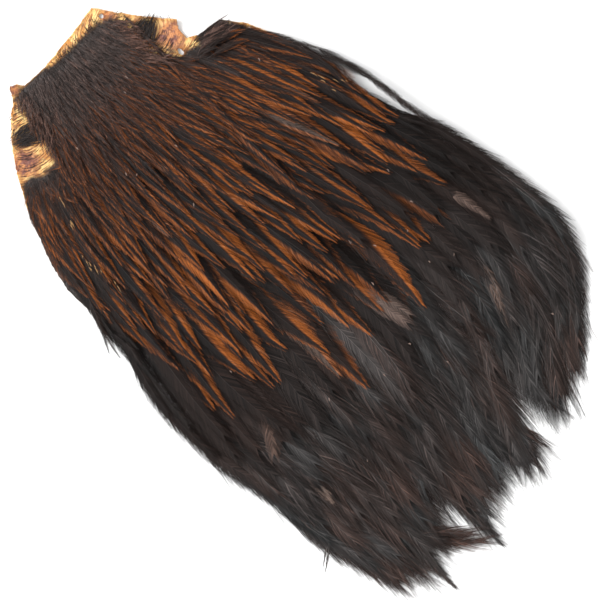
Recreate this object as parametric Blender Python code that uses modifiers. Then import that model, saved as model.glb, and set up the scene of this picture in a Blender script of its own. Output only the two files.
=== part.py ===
"""Hen neck cape: a dried neck skin with its plumage, lying flat on a table.

The skin is a thin sheet. Over it lie, from the head end down, a mat of crown
feathers, an ear tuft on each side, and nine rows of neck feathers. Each row
covers the roots of the next like shingles, so a feather climbs one layer for
every row that it passes over, and the last row comes down to the table past
the skin's end.

+Y is the head end, +Z is up, and z = 0 is the table under the skin.
"""

import math

import bmesh
import bpy

MM = 0.001

# Driving dimensions, in millimetres. The levels and outlines below are drawn
# from a point between the shoulders, and the cape's own origin is the middle
# of its length and width, on the table.
MIDDLE = (-0.2, -1.5)
SKIN_THICK = 0.8
GAP = 0.35
LAYER = 2.5
THINNER_AT_SIDES = 0.45
SETTLING_RUN = 9.0
ROW_COUNT = 9
FIRST_ROOT_Y = 62.0
ROW_PITCH = 9.6
PITCH_GROWTH = 0.42
FIRST_LENGTH = 26.0
FEATHERS_IN_ROW = (5, 6, 5, 6, 7, 6, 7, 6, 8)

# The levels that the last row's tips reach, from left to right, and how much
# the lengths of the other rows' feathers differ
LAST_TIPS = (-84.0, -94.0, -93.0, -88.5, -86.0, -89.0, -83.0, -75.0)
UNEVENNESS = 2.0

# A feather's vane: the half width and height of the section it is drawn with,
# where along its length it is widest, and how wide it starts
SECTION_HALF_WIDTH = 9.5
SECTION_HEIGHT = 1.9
WIDEST_AT = 0.52
ROOT_WIDTH = 0.16
NEIGHBOUR_GAP = 0.8
STATIONS = 10

# Five lines that the plumage flows along, from the left edge (across = -1) to
# the right edge (+1): where each crosses these levels
FLOW_LEVELS = (92.0, 70.0, 50.0, 30.0, 10.0, -10.0, -30.0, -50.0, -70.0, -95.0)
FLOW_ACROSS = (-1.0, -0.5, 0.0, 0.5, 1.0)
FLOW_LINES = (
    (-25.0, -43.0, -51.5, -55.0, -57.5, -59.5, -58.5, -56.5, -53.5, -49.0),
    (-17.0, -26.0, -31.0, -33.0, -34.0, -35.0, -34.5, -33.0, -32.5, -32.0),
    (-9.0, -8.5, -7.0, -5.0, -2.0, 0.0, 0.0, -2.5, -6.0, -10.0),
    (-1.0, 6.0, 13.5, 21.0, 27.0, 32.0, 33.5, 28.0, 18.0, 8.0),
    (7.0, 23.0, 37.0, 46.5, 51.5, 55.5, 59.0, 57.0, 43.0, 22.0),
)

# The skin's outline, clockwise from the small tab at the head end's left
SKIN_OUTLINE = (
    (-25.8, 89.0), (-24.6, 91.0), (-22.8, 90.2), (-21.5, 88.4), (-14.0, 87.9),
    (-3.0, 89.0), (6.6, 90.4), (8.2, 88.0), (13.8, 80.2), (21.0, 71.6),
    (19.4, 69.4), (19.2, 66.2), (22.0, 64.4), (29.0, 63.4), (33.4, 58.0),
    (36.6, 51.0), (39.0, 40.0), (39.5, 26.0), (37.0, 6.0), (30.0, -16.0),
    (17.0, -34.0), (0.0, -43.0), (-18.0, -42.0), (-33.0, -31.0), (-43.0, -12.0),
    (-49.0, 8.0), (-52.0, 26.0), (-52.8, 40.0), (-51.0, 48.0), (-46.6, 62.0),
    (-41.0, 73.0), (-35.4, 80.6), (-30.0, 86.0), (-27.0, 87.2),
)
SKIN_END_Y = -43.0
PIN_HOLE = ((6.9, 86.9), 0.6, 0.6)
EAR_HOLE = ((15.4, 64.6), 0.6, 1.1)
HOLE_SIDES = 12

# The crown mat's sides: level, left edge and right edge
CROWN_LEVELS = (87.2, 80.0, 73.0, 66.5, 61.0, 56.0)
CROWN_LEFT = (-23.0, -27.5, -28.5, -34.0, -43.0, -46.5)
CROWN_RIGHT = (5.0, 7.8, 8.4, 12.5, 25.0, 31.0)
CROWN_COLUMNS = 25
CROWN_ROWS = 15
CROWN_THICK = 1.5
CROWN_SHINGLES = 5
CROWN_SHINGLE_STEP = 0.55
CROWN_TIP = 5.0
CROWN_FRINGE_FROM = 0.85

# Ear tufts: root, tip and half width of the one broad lock on each side
EAR_TUFTS = {
    "ear_tuft_left": ((-36.4, 80.0), (-27.6, 76.6), 2.7),
    "ear_tuft_right": ((9.6, 80.0), (12.2, 68.6), 3.0),
}


def new_object(name, data, collection, material=None, parent=None):
    thing = bpy.data.objects.new(name, data)
    collection.objects.link(thing)
    thing.parent = parent
    if material:
        data.materials.append(material)
    return thing


def new_material(name, colour, roughness):
    material = bpy.data.materials.new(name)
    material.use_nodes = True
    shader = material.node_tree.nodes["Principled BSDF"]
    shader.inputs["Base Color"].default_value = (*colour, 1.0)
    shader.inputs["Roughness"].default_value = roughness
    shader.inputs["Metallic"].default_value = 0.0
    return material


def smooth(keys, values, at):
    """A smooth curve through values at keys, read at one key. Keys rise or fall."""
    if keys[0] > keys[-1]:
        keys, values, at = [-k for k in keys], list(values), -at
    at = min(max(at, keys[0]), keys[-1])
    i = max(n for n in range(len(keys) - 1) if keys[n] <= at)

    def slope(n):
        low, high = max(n - 1, 0), min(n + 1, len(keys) - 1)
        return (values[high] - values[low]) / (keys[high] - keys[low])

    span = keys[i + 1] - keys[i]
    t = (at - keys[i]) / span
    return (
        values[i] * (2 * t**3 - 3 * t**2 + 1)
        + slope(i) * span * (t**3 - 2 * t**2 + t)
        + values[i + 1] * (3 * t**2 - 2 * t**3)
        + slope(i + 1) * span * (t**3 - t**2)
    )


def flow_x(across, y):
    """Where the flow line at this share across crosses the level y."""
    crossings = [smooth(FLOW_LEVELS, line, y) for line in FLOW_LINES]
    return smooth(FLOW_ACROSS, crossings, across)


def root_y(row):
    steps = row - 1
    return FIRST_ROOT_Y - ROW_PITCH * steps - PITCH_GROWTH * steps**2


def row_at(y):
    """The row number, with its fraction, whose roots lie at the level y."""
    below = FIRST_ROOT_Y - y
    inside = max(ROW_PITCH**2 + 4 * PITCH_GROWTH * below, 0.0)
    return 1 + (math.sqrt(inside) - ROW_PITCH) / (2 * PITCH_GROWTH)


def place_across(row, place):
    return (2 * place - 1) / FEATHERS_IN_ROW[row - 1] - 1


def feather_length(row, place):
    """Short at the head end, growing to the length that reaches the last tips."""
    last_row = [place_across(ROW_COUNT, n + 1) for n in range(len(LAST_TIPS))]
    tip = smooth(last_row, LAST_TIPS, place_across(row, place))
    growth = math.sin(math.pi / 2 * (row - 1) / (ROW_COUNT - 1))
    length = FIRST_LENGTH + (root_y(ROW_COUNT) - tip - FIRST_LENGTH) * growth
    if row < ROW_COUNT:
        length += UNEVENNESS * math.sin(2.4 * place + 1.9 * row)
    return length


def side_thinning(across):
    """The plumage thins out towards the cape's sides."""
    return 1 - THINNER_AT_SIDES * min(abs(across), 1.0) ** 4


def height(row, across, y):
    """The underside of a row's feathers: on the skin at their roots, a layer
    higher for each row below them, and down on the table past the skin's end."""
    seat = SKIN_THICK + GAP
    past_end = min(max((SKIN_END_Y - y) / SETTLING_RUN, 0.0), 1.0)
    settle = seat * past_end**2 * (3 - 2 * past_end)
    layers = min(max(row_at(y), row), ROW_COUNT) - row
    return seat - settle + layers * LAYER * side_thinning(across)


def vane_width(share):
    """Half width of a feather's vane along its length, as a share of its widest."""
    opened = math.sin(math.pi / 2 * min(share / WIDEST_AT, 1.0)) ** 1.2
    past_widest = max(share - WIDEST_AT, 0.0) / (1 - WIDEST_AT)
    closing = max(1 - past_widest**2.4, 0.0) ** 0.8
    return (ROOT_WIDTH + (1 - ROOT_WIDTH) * opened) * closing + 0.03


def vane_section(guides):
    """The cross-section of a feather: flat beneath, with a low ridge where the
    quill runs. It guides the curves and isn't a part of the cape."""
    curve = bpy.data.curves.new("vane_section", "CURVE")
    curve.dimensions = "2D"
    ridge = ((-1.0, 0.0), (-0.5, 0.72), (0.0, 1.0), (0.5, 0.72), (1.0, 0.0))
    spline = curve.splines.new("POLY")
    spline.points.add(len(ridge) - 1)
    for point, (across, up) in zip(spline.points, ridge):
        point.co = (
            across * SECTION_HALF_WIDTH * MM,
            up * SECTION_HEIGHT * MM,
            0.0,
            1.0,
        )
    spline.use_cyclic_u = True
    section = new_object("vane_section", curve, guides)
    section.hide_render = True
    section.display_type = "WIRE"
    return section


def swept_feather(name, stations, section, material, collection, parent):
    """A feather swept along (x, y, z, half width, side slope) stations."""
    curve = bpy.data.curves.new(name, "CURVE")
    curve.dimensions = "3D"
    curve.twist_mode = "Z_UP"
    curve.bevel_mode = "OBJECT"
    curve.bevel_object = section
    curve.use_fill_caps = True
    spline = curve.splines.new("POLY")
    spline.points.add(len(stations) - 1)
    for point, (x, y, z, half_width, side_slope) in zip(spline.points, stations):
        point.co = (x * MM, y * MM, z * MM, 1.0)
        point.radius = half_width / SECTION_HALF_WIDTH
        point.tilt = side_slope
    return new_object(name, curve, collection, material, parent)


def neck_feather_stations(row, place):
    """Stations from root to tip for feather number place of a row."""
    across = place_across(row, place)
    left = across - 1 / FEATHERS_IN_ROW[row - 1]
    right = across + 1 / FEATHERS_IN_ROW[row - 1]
    length = feather_length(row, place)
    stations = []
    for n in range(STATIONS):
        share = n / (STATIONS - 1)
        y = root_y(row) - share * length
        room = flow_x(right, y) - flow_x(left, y)
        lean = flow_x(across, y - 0.5) - flow_x(across, y + 0.5)
        half_width = (room / math.sqrt(1 + lean**2) - NEIGHBOUR_GAP) / 2
        side_slope = (height(row, right, y) - height(row, left, y)) / room
        stations.append(
            (
                flow_x(across, y),
                y,
                height(row, across, y),
                half_width * vane_width(share),
                math.atan(side_slope),
            )
        )
    return stations


def ear_tuft_stations(root, tip, half_width):
    stations = []
    for n in range(STATIONS):
        share = n / (STATIONS - 1)
        stations.append(
            (
                root[0] + (tip[0] - root[0]) * share,
                root[1] + (tip[1] - root[1]) * share,
                SKIN_THICK + GAP,
                half_width * vane_width(share),
                0.0,
            )
        )
    return stations


def ring_points(spline, centre, half_width, half_height):
    spline.points.add(HOLE_SIDES - 1)
    for n, point in enumerate(spline.points):
        turn = 2 * math.pi * n / HOLE_SIDES
        point.co = (
            (centre[0] + half_width * math.cos(turn)) * MM,
            (centre[1] + half_height * math.sin(turn)) * MM,
            0.0,
            1.0,
        )
    spline.use_cyclic_u = True


def skin(material, collection, parent):
    """The dried skin: a flat sheet cut to its outline, with the pin hole near
    the head end's corner and the ear hole."""
    curve = bpy.data.curves.new("skin", "CURVE")
    curve.dimensions = "2D"
    curve.fill_mode = "BOTH"
    curve.extrude = SKIN_THICK / 2 * MM
    edge = curve.splines.new("POLY")
    edge.points.add(len(SKIN_OUTLINE) - 1)
    for point, (x, y) in zip(edge.points, SKIN_OUTLINE):
        point.co = (x * MM, y * MM, 0.0, 1.0)
    edge.use_cyclic_u = True
    for hole in (PIN_HOLE, EAR_HOLE):
        ring_points(curve.splines.new("POLY"), *hole)
    sheet = new_object("skin", curve, collection, material, parent)
    sheet.location.z = SKIN_THICK / 2 * MM
    return sheet


def crown_feathers(material, collection, parent):
    """The short crown feathers as one mat with shingled steps, ending in a
    fringe of points over the first row. A grid, laid over the head end and
    given its thickness upwards."""
    top, bottom = CROWN_LEVELS[0], CROWN_LEVELS[-1]
    grid = bmesh.new()
    bmesh.ops.create_grid(
        grid, x_segments=CROWN_COLUMNS - 1, y_segments=CROWN_ROWS - 1, size=1.0
    )
    for point in grid.verts:
        across = point.co.x
        share = (1 - point.co.y) / 2
        is_tip = round((across + 1) / 2 * (CROWN_COLUMNS - 1)) % 2
        level = top + (bottom - top) * share
        left = smooth(CROWN_LEVELS, CROWN_LEFT, level)
        right = smooth(CROWN_LEVELS, CROWN_RIGHT, level)
        x = (left + right) / 2 + across * (right - left) / 2
        fringe = max(share - CROWN_FRINGE_FROM, 0.0) / (1 - CROWN_FRINGE_FROM)
        y = level - CROWN_TIP * is_tip * fringe
        step = (share * CROWN_SHINGLES) % 1.0 + 0.6 * is_tip
        raised = CROWN_SHINGLE_STEP * step * (1 - fringe)
        point.co = (x * MM, y * MM, (height(0, 0.8 * across, y) + raised) * MM)
    mesh = bpy.data.meshes.new("crown_feathers")
    grid.to_mesh(mesh)
    grid.free()
    mat = new_object("crown_feathers", mesh, collection, material, parent)
    thickness = mat.modifiers.new("thickness", "SOLIDIFY")
    thickness.thickness = CROWN_THICK * MM
    thickness.offset = 1.0
    return mat


def build():
    for thing in list(bpy.data.objects):
        bpy.data.objects.remove(thing)
    scene = bpy.context.scene
    cape = bpy.data.collections.new("hen_neck_cape")
    guides = bpy.data.collections.new("guides")
    scene.collection.children.link(cape)
    scene.collection.children.link(guides)
    middle = new_object("cape_middle", None, cape)
    middle.location = (-MIDDLE[0] * MM, -MIDDLE[1] * MM, 0.0)

    dried_skin = new_material("dried_skin", (0.80, 0.50, 0.20), 0.55)
    crown_brown = new_material("crown_brown", (0.035, 0.024, 0.020), 0.60)
    furnace = new_material("furnace", (0.24, 0.075, 0.018), 0.50)
    black = new_material("black", (0.022, 0.020, 0.020), 0.50)

    skin(dried_skin, cape, middle)
    crown_feathers(crown_brown, cape, middle)
    section = vane_section(guides)
    for name, (root, tip, half_width) in EAR_TUFTS.items():
        stations = ear_tuft_stations(root, tip, half_width)
        swept_feather(name, stations, section, crown_brown, cape, middle)
    for row in range(1, ROW_COUNT + 1):
        kind = "neck_feather" if row <= 5 else "back_feather"
        material = furnace if row <= 5 else black
        for place in range(1, FEATHERS_IN_ROW[row - 1] + 1):
            name = f"{kind}_row{row}_{place}"
            stations = neck_feather_stations(row, place)
            swept_feather(name, stations, section, material, cape, middle)


build()
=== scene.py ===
import math

import bmesh
import bpy
import numpy as np
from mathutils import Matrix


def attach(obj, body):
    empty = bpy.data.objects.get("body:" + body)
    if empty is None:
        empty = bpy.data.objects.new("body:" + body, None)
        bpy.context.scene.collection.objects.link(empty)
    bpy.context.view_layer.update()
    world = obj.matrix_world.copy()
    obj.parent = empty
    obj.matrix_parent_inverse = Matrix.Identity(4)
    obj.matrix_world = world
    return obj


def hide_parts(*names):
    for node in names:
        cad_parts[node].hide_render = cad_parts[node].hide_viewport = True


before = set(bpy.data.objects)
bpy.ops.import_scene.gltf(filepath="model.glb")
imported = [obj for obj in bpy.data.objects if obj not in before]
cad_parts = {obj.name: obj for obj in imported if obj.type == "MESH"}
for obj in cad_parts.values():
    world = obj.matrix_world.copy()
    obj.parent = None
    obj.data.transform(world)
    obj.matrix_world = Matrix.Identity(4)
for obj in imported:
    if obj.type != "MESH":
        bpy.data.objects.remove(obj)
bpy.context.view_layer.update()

# Skin
# The dried skin of the neck, a thin wrinkled sheet that was cut with a knife along the
# head end and round the ears. It is bare there, and the feathers grow out of the rest.

# Lengths are in millimetres from a point between the shoulders, and the cape's own
# origin is at MIDDLE
MM = 0.001
MIDDLE = (-0.2, -1.5)
SKIN_OUTLINE = (
    (-25.8, 89.0), (-24.6, 91.0), (-22.8, 90.2), (-21.5, 88.4), (-14.0, 87.9),
    (-3.0, 89.0), (6.6, 90.4), (8.2, 88.0), (13.8, 80.2), (21.0, 71.6),
    (19.4, 69.4), (19.2, 66.2), (22.0, 64.4), (29.0, 63.4), (33.4, 58.0),
    (36.6, 51.0), (39.0, 40.0), (39.5, 26.0), (37.0, 6.0), (30.0, -16.0),
    (17.0, -34.0), (0.0, -43.0), (-18.0, -42.0), (-33.0, -31.0), (-43.0, -12.0),
    (-49.0, 8.0), (-52.0, 26.0), (-52.8, 40.0), (-51.0, 48.0), (-45.9, 61.6),
    (-40.2, 72.5), (-34.8, 80.1), (-29.5, 85.5), (-27.0, 87.2),
)
PIN_HOLE = ((6.9, 86.9), 0.6, 0.6)
EAR_HOLE = ((15.4, 64.6), 0.6, 1.1)
HOLE_SIDES = 16
SKIN_CELL = 1.1
SKIN_CUTS = (((1, 0, 0), -60, 50), ((0, 1, 0), -45, 95))
SHEET_THICK = 0.45
WAVE_HEIGHT = 0.12
CURLED_EDGE = 0.35
EDGE_WANDER = 0.16
FLAP = ((21.5, 72.0), 7.0, 1.6)
LUMP = ((-24.4, 90.0), 3.0, 1.2)
EARS = ((-30.9, 78.1), (12.7, 75.6))
EAR_SQUASH = 1.25
FLESH_TOP = 2.6
FLESH = (((-36.6, 73.2), 7.0), ((16.8, 69.6), 7.5), ((-24.4, 89.8), 3.5), ((8.0, 86.0), 3.5))
BARE_PATCHES = (
    (
        (-27.4, 88.0), (-25.4, 86.2), (-25.8, 83.0), (-27.0, 79.5), (-27.2, 75.0),
        (-28.6, 71.0), (-30.5, 67.8), (-34.5, 67.0), (-38.0, 69.5), (-41.5, 69.5),
        (-46.0, 60.0), (-50.0, 64.0), (-38.0, 84.0), (-30.0, 90.0),
    ),
    (
        (5.0, 92.0), (6.0, 87.8), (8.4, 85.2), (9.8, 81.0), (9.4, 76.5),
        (8.6, 72.0), (9.8, 68.8), (12.5, 66.0), (14.6, 63.2), (17.0, 63.8),
        (20.5, 62.5), (26.0, 72.0), (16.0, 88.0),
    ),
    (
        (-27.0, 95.0), (8.0, 95.0), (7.0, 86.8), (3.5, 86.4), (-1.0, 86.6), (-6.0, 86.4),
        (-12.0, 86.8), (-14.5, 88.0), (-22.0, 88.4),
    ),
    ((5.0, 88.2), (5.6, 85.6), (8.0, 85.2), (9.6, 86.6)),
    ((-28.0, 88.4), (-25.4, 87.6), (-23.0, 88.2), (-22.0, 92.0), (-28.0, 92.0)),
    (
        (30.4, 62.4), (32.4, 58.6), (34.6, 53.5), (36.4, 48.5), (38.2, 42.5),
        (38.8, 30.0), (45.0, 30.0), (41.0, 62.0),
    ),
)


class Wire:
    """A socket of a node tree. Sums and products of wires add nodes to the tree."""

    def __init__(self, net, socket):
        self.net = net
        self.socket = socket

    def __add__(self, other):
        return self.net.maths("ADD", self, other)

    def __radd__(self, other):
        return self.net.maths("ADD", other, self)

    def __sub__(self, other):
        return self.net.maths("SUBTRACT", self, other)

    def __rsub__(self, other):
        return self.net.maths("SUBTRACT", other, self)

    def __mul__(self, other):
        return self.net.maths("MULTIPLY", self, other)

    def __rmul__(self, other):
        return self.net.maths("MULTIPLY", other, self)

    def __rtruediv__(self, other):
        return self.net.maths("DIVIDE", other, self)

    def __pow__(self, other):
        return self.net.maths("POWER", self, other)


class Net:
    """A node tree that is written line by line."""

    def __init__(self, tree):
        self.tree = tree

    def node(self, kind, settings=None, inputs=None, output=0):
        made = self.tree.nodes.new(kind)
        for name, value in (settings or {}).items():
            setattr(made, name, value)
        for key, value in (inputs or {}).items():
            if isinstance(value, Wire):
                self.tree.links.new(value.socket, made.inputs[key])
            else:
                made.inputs[key].default_value = value
        return Wire(self, made.outputs[output])

    def maths(self, operation, *values):
        vectors = [
            isinstance(v, tuple) or isinstance(v, Wire) and v.socket.type in ("VECTOR", "RGBA")
            for v in values
        ]
        if not any(vectors):
            inputs = dict(enumerate(values))
            return self.node("ShaderNodeMath", {"operation": operation}, inputs)
        if operation == "MULTIPLY" and not all(vectors):
            vector, number = values if vectors[0] else reversed(values)
            inputs = {"Vector": vector, "Scale": number}
            return self.node("ShaderNodeVectorMath", {"operation": "SCALE"}, inputs)
        inputs = dict(enumerate(values))
        return self.node("ShaderNodeVectorMath", {"operation": operation}, inputs)

    def between(self, value, low, high, to_low=0.0, to_high=1.0):
        """Goes smoothly from to_low to to_high as value goes from low to high."""
        names = ("Value", "From Min", "From Max", "To Min", "To Max")
        inputs = dict(zip(names, (value, low, high, to_low, to_high)))
        settings = {"interpolation_type": "SMOOTHSTEP"}
        return self.node("ShaderNodeMapRange", settings, inputs)

    def mix(self, factor, first, second):
        """Colour first where factor is 0 and second where it is 1."""
        inputs = {0: factor}
        for key, colour in ((6, first), (7, second)):
            inputs[key] = colour if isinstance(colour, Wire) else (*colour, 1.0)
        return self.node("ShaderNodeMix", {"data_type": "RGBA"}, inputs, 2)

    def carried(self, name):
        """A number that the mesh carries, for a material."""
        return self.node("ShaderNodeAttribute", {"attribute_name": name}, {}, 2)


def new_object(name, data):
    """A new object in the scene."""
    thing = bpy.data.objects.new(name, data)
    bpy.context.scene.collection.objects.link(thing)
    return thing


def plain_mesh(thing):
    """A plain mesh of an object with all its modifiers done."""
    evaluated = thing.evaluated_get(bpy.context.evaluated_depsgraph_get())
    return bpy.data.meshes.new_from_object(evaluated)


def keep_on(mesh, name, values, kind="FLOAT", part="value"):
    """Keeps a number or a direction on each point of a mesh."""
    attribute = mesh.attributes.new(name, kind, "POINT")
    attribute.data.foreach_set(part, np.ascontiguousarray(values, np.float32).ravel())


def new_finish(name):
    """A new material, the net of its nodes, and its shader."""
    material = bpy.data.materials.new(name)
    material.use_nodes = True
    net = Net(material.node_tree)
    shader = material.node_tree.nodes["Principled BSDF"]
    return material, net, shader


def depth_in(outlines, x, y):
    """Millimetres inside the outlines; below 0 outside all of them."""
    deepest = np.full(np.shape(x), -99.0)
    for outline in outlines:
        inside = np.zeros(np.shape(x), bool)
        away = np.full(np.shape(x), 99.0)
        for (ax, ay), (bx, by) in zip(outline, outline[1:] + outline[:1]):
            along = (x - ax) * (bx - ax) + (y - ay) * (by - ay)
            along = np.clip(along / ((bx - ax) ** 2 + (by - ay) ** 2), 0.0, 1.0)
            off_x = x - ax - along * (bx - ax)
            off_y = y - ay - along * (by - ay)
            away = np.minimum(away, np.hypot(off_x, off_y))
            if ay != by:
                left = x < ax + (y - ay) / (by - ay) * (bx - ax)
                inside ^= ((ay > y) != (by > y)) & left
        deepest = np.maximum(deepest, np.where(inside, away, -away))
    return deepest


def rise(spot, x, y):
    """Height of a small hill with a centre, a radius and a top."""
    (centre_x, centre_y), radius, top = spot
    near = np.clip(1.0 - np.hypot(x - centre_x, y - centre_y) / radius, 0.0, 1.0)
    return top * near**2


def skin_sheet():
    """The sheet: cut to its outline and cells, curled, thickened and marked."""
    outline = bpy.data.curves.new("skin_outline", "CURVE")
    outline.dimensions = "2D"
    outline.fill_mode = "BOTH"
    turns = np.arange(HOLE_SIDES) * 2 * np.pi / HOLE_SIDES
    loops = [np.array(SKIN_OUTLINE)]
    for centre, half_width, half_height in (PIN_HOLE, EAR_HOLE):
        hole = np.stack([half_width * np.cos(turns), half_height * np.sin(turns)], -1)
        loops.append(hole + centre)
    for loop in loops:
        spline = outline.splines.new("POLY")
        spline.points.add(len(loop) - 1)
        for point, (x, y) in zip(spline.points, loop):
            point.co = ((x - MIDDLE[0]) * MM, (y - MIDDLE[1]) * MM, 0.0, 1.0)
        spline.use_cyclic_u = True
    flat = new_object("skin_outline", outline)
    mesh = plain_mesh(flat)
    bpy.data.objects.remove(flat)
    sheet = bmesh.new()
    sheet.from_mesh(mesh)
    bmesh.ops.remove_doubles(sheet, verts=sheet.verts, dist=0.00001)
    for normal, low, high in SKIN_CUTS:
        for level in np.arange(low, high, SKIN_CELL) * MM:
            geometry = sheet.verts[:] + sheet.edges[:] + sheet.faces[:]
            cut = [level * part for part in normal]
            bmesh.ops.bisect_plane(
                sheet, geom=geometry, plane_co=cut, plane_no=normal, dist=0.000001
            )
    bmesh.ops.triangulate(sheet, faces=sheet.faces)
    chance = np.random.default_rng(4)
    x = np.array([vertex.co.x for vertex in sheet.verts]) / MM + MIDDLE[0]
    y = np.array([vertex.co.y for vertex in sheet.verts]) / MM + MIDDLE[1]
    edge = np.array([vertex.is_boundary for vertex in sheet.verts])
    bare = np.clip(0.5 + depth_in(BARE_PATCHES, x, y), 0.0, 1.0)
    wave = np.sin(x * 1.1 + 0.7 * y) * np.sin(0.9 * y - 0.4 * x)
    height = bare * (WAVE_HEIGHT * (wave + 1.0) + CURLED_EDGE * edge)
    height = height + rise(FLAP, x, y) + rise(LUMP, x, y)
    shift = edge[:, None] * chance.uniform(-EDGE_WANDER, EDGE_WANDER, (len(x), 2))
    for vertex, level, (shift_x, shift_y) in zip(sheet.verts, height, shift):
        vertex.co.x += shift_x * MM
        vertex.co.y += shift_y * MM
        vertex.co.z = level * MM
    bmesh.ops.recalc_face_normals(sheet, faces=sheet.faces)
    if sum(face.normal.z for face in sheet.faces) < 0:
        bmesh.ops.reverse_faces(sheet, faces=sheet.faces)
    sheet.to_mesh(mesh)
    sheet.free()
    piece = new_object("skin_sheet", mesh)
    thickness = piece.modifiers.new("thickness", "SOLIDIFY")
    thickness.thickness = SHEET_THICK * MM
    thickness.offset = 1.0
    solid = plain_mesh(piece)
    piece.modifiers.clear()
    piece.data = solid
    solid.name = "skin_sheet"
    places = np.empty(len(solid.vertices) * 3)
    solid.vertices.foreach_get("co", places)
    places = places.reshape(-1, 3) / MM
    places[:, 2] -= places[:, 2].min()
    solid.vertices.foreach_set("co", (places * MM).ravel())
    x = places[:, 0] + MIDDLE[0]
    y = places[:, 1] + MIDDLE[1]
    flesh = sum(rise((centre, radius, FLESH_TOP), x, y) for centre, radius in FLESH)
    left = x < -10.0
    ear_x = np.where(left, EARS[0][0] - x, x - EARS[1][0])
    ear_y = (y - np.where(left, EARS[0][1], EARS[1][1])) * EAR_SQUASH
    away = np.hypot(ear_x, ear_y)
    numbers = {
        "bare": np.clip(0.5 + depth_in(BARE_PATCHES, x, y), 0.0, 1.0),
        # rim: the band along the outline that gets the painted glow
        "rim": np.clip(1.3 - depth_in((SKIN_OUTLINE,), x, y), 0.0, 1.0),
        "flesh": np.clip(flesh, 0.0, 1.0),
        "comb": away,
        "swirl": np.arctan2(ear_y, ear_x) * away,
    }
    for name, value in numbers.items():
        keep_on(solid, name, value)
    solid.shade_smooth()
    solid.set_sharp_from_angle(angle=math.radians(50))
    return piece


# The cream and the rim's yellow are the dried skin's own colours, painted brighter as a glow of
# light through the thin skin
SKIN_COLOURS = {
    "cream": ((0.62, 0.26, 0.06), (0.96, 0.66, 0.25)),
    "line": ((0.14, 0.045, 0.015), (0.42, 0.17, 0.045)),
    "flesh": ((0.19, 0.065, 0.045), (0.56, 0.22, 0.075)),
    "edge": ((0.86, 0.52, 0.18), (0.50, 0.20, 0.06)),
    # Near black where feathers cover the skin: painted shade
    "shade_under_feathers": ((0.010, 0.006, 0.005), (0.028, 0.014, 0.010)),
    "below": ((0.10, 0.045, 0.03), (0.56, 0.34, 0.16)),
}
FLESH_CREASE = (0.14, 0.055, 0.045)
BELOW_STAIN = (0.36, 0.16, 0.07)
MOTTLE_SCALE = 420.0
CREASE_SCALE = 1100.0


def skin_finish():
    """Cream and flesh on top, brightened by a painted glow and near black with painted shade
    under the feathers, combed round the ears, and dotted by roots below.
    """
    material, net, shader = new_finish("dried_skin")
    here = net.node("ShaderNodeTexCoord", {}, {}, 3)
    facing = net.node("ShaderNodeNewGeometry", {}, {}, 1)
    above = net.between(net.node("ShaderNodeSeparateXYZ", {}, {0: facing}, 2), -0.2, 0.2)
    read = net.carried

    def noise(place, scale, detail, distortion=0.0):
        inputs = {"Vector": place, "Scale": scale, "Detail": detail}
        inputs["Distortion"] = distortion
        return net.node("ShaderNodeTexNoise", {}, inputs)

    def shade(colour, factor):
        return net.mix(factor, *SKIN_COLOURS[colour])

    place = {0: read("comb") * 1.9, 1: read("swirl") * 0.22, 2: 0.0}
    streaks = noise(net.node("ShaderNodeCombineXYZ", {}, place), 1.0, 2.0, 0.3)
    mottle = noise(here, MOTTLE_SCALE, 4.0)
    creases = noise(here, CREASE_SCALE, 3.0, 1.0)
    # The cream's bright end is partly a painted glow of light through the thin skin
    cream = shade("cream", net.between(mottle, 0.4, 0.62))
    line = shade("line", net.between(creases, 0.35, 0.65))
    top = net.mix(net.between(streaks, 0.46, 0.58), cream, line)
    flesh = shade("flesh", net.between(mottle, 0.42, 0.58))
    flesh = net.mix(net.between(creases, 0.52, 0.66, 0.0, 0.8), flesh, FLESH_CREASE)
    top = net.mix(read("flesh"), top, flesh)
    edge = shade("edge", net.between(creases, 0.45, 0.6))
    # Painted glow: the rim of the sheet is mixed to a bright yellow, as light shining through
    # the thin cut edge
    top = net.mix(read("rim") * (1.0 - read("flesh")) * net.between(mottle, 0.3, 0.6), top, edge)
    # Painted shade: where feathers cover the skin it is mixed to near black, the shade they cast
    top = net.mix(read("bare"), shade("shade_under_feathers", net.between(creases, 0.3, 0.7)), top)
    dots = net.node("ShaderNodeTexVoronoi", {}, {"Vector": here, "Scale": MOTTLE_SCALE})
    below = shade("below", net.between(dots, 0.18, 0.34))
    below = net.mix(net.between(mottle, 0.4, 0.7, 0.0, 0.5), below, BELOW_STAIN)
    colour = net.mix(above, below, top)
    net.tree.links.new(colour.socket, shader.inputs["Base Color"])
    height = creases * 0.5 + mottle * 0.3 + streaks * 0.4
    bump = net.node("ShaderNodeBump", {}, {"Height": height, "Distance": 0.0005})
    net.tree.links.new(bump.socket, shader.inputs["Normal"])
    shader.inputs["Roughness"].default_value = 0.42
    shader.inputs["Specular IOR Level"].default_value = 0.4
    return material


skin_piece = skin_sheet()
skin_piece.data.materials.clear()
skin_piece.data.materials.append(skin_finish())
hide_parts("skin")
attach(skin_piece, "root")

# Crown feathers
# Over a thousand tiny dark feathers and hair tips that grow at the head end. All of the
# cape's feathers lie along the flow of the neck, each over the roots of those below it,
# so they are strewn at once here and shared out by rows.

# The levels at which the feathers lie, and the rows of their roots
SKIN_THICK = 0.8
GAP = 0.35
LAYER = 2.5
THINNER_AT_SIDES = 0.45
SETTLING_RUN = 9.0
SKIN_END_Y = -43.0
ROW_COUNT = 9
FIRST_ROOT_Y = 62.0
ROW_PITCH = 9.6
PITCH_GROWTH = 0.42
FEATHERS_IN_ROW = (5, 6, 5, 6, 7, 6, 7, 6, 8)
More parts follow.
